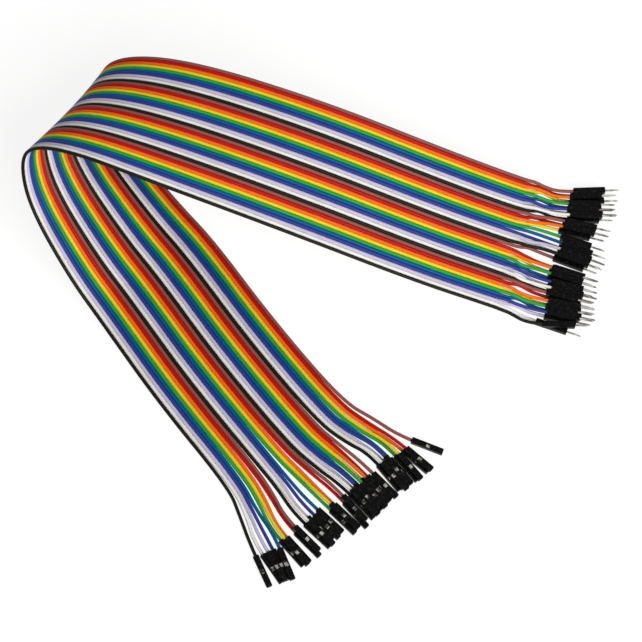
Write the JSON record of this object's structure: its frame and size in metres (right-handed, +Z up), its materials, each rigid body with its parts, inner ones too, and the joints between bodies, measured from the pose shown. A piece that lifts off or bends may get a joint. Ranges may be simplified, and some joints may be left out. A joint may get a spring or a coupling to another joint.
{
  "type": "jumper wire ribbon",
  "caption": "Rainbow ribbon of bonded jumper wires, folded over in a tall open bend, with black one-way socket plugs at one end and pin plugs at the other.",
  "frame": {"origin": "bottom centre of the whole object, on the surface that it lies on", "axes": "+Z up; +X runs from the ribbon's bend to the pin plugs; the socket plugs lie towards -Y"},
  "size_m": [0.2555, 0.221, 0.0632],
  "materials": {
    "wire_brown": "brown flexible PVC insulation, semi-gloss",
    "wire_red": "red flexible PVC insulation, semi-gloss",
    "wire_orange": "orange flexible PVC insulation, semi-gloss",
    "wire_yellow": "yellow flexible PVC insulation, semi-gloss",
    "wire_green": "green flexible PVC insulation, semi-gloss",
    "wire_blue": "blue flexible PVC insulation, semi-gloss",
    "wire_purple": "purple flexible PVC insulation, semi-gloss",
    "wire_grey": "grey flexible PVC insulation, semi-gloss",
    "wire_white": "white flexible PVC insulation, semi-gloss",
    "wire_black": "black flexible PVC insulation, semi-gloss",
    "plug_housing": "black moulded nylon, fine satin",
    "contact": "tin-plated phosphor bronze strip, bright"
  },
  "bodies": {
    "root": {"wire_01_brown": "wire_brown", "wire_02_red": "wire_red", "wire_03_orange": "wire_orange", "wire_04_yellow": "wire_yellow", "wire_05_green": "wire_green", "wire_06_blue": "wire_blue", "wire_07_purple": "wire_purple", "wire_08_grey": "wire_grey", "wire_09_white": "wire_white", "wire_10_black": "wire_black", "wire_11_brown": "wire_brown", "wire_12_red": "wire_red", "wire_13_orange": "wire_orange", "wire_14_yellow": "wire_yellow", "wire_15_green": "wire_green", "wire_16_blue": "wire_blue", "wire_17_purple": "wire_purple", "wire_18_grey": "wire_grey", "wire_19_white": "wire_white", "wire_20_black": "wire_black", "wire_21_brown": "wire_brown", "wire_22_red": "wire_red", "wire_23_orange": "wire_orange", "wire_24_yellow": "wire_yellow", "wire_25_green": "wire_green", "wire_26_blue": "wire_blue", "wire_27_purple": "wire_purple", "wire_28_grey": "wire_grey", "wire_29_white": "wire_white", "wire_30_black": "wire_black", "wire_31_brown": "wire_brown", "wire_32_red": "wire_red", "wire_33_orange": "wire_orange", "wire_34_yellow": "wire_yellow", "wire_35_green": "wire_green", "wire_36_blue": "wire_blue", "wire_37_purple": "wire_purple", "wire_38_grey": "wire_grey", "wire_39_white": "wire_white", "wire_40_black": "wire_black", "socket_housings_1": "plug_housing", "socket_housings_2": "plug_housing", "socket_housings_3": "plug_housing", "socket_housings_4": "plug_housing", "socket_contacts_1": "contact", "socket_contacts_2": "contact", "socket_contacts_3": "contact", "socket_contacts_4": "contact", "pin_housings_1": "plug_housing", "pin_housings_2": "plug_housing", "pin_housings_3": "plug_housing", "pin_housings_4": "plug_housing", "pin_contacts_1": "contact", "pin_contacts_2": "contact", "pin_contacts_3": "contact", "pin_contacts_4": "contact"}
  },
  "joints": []
}
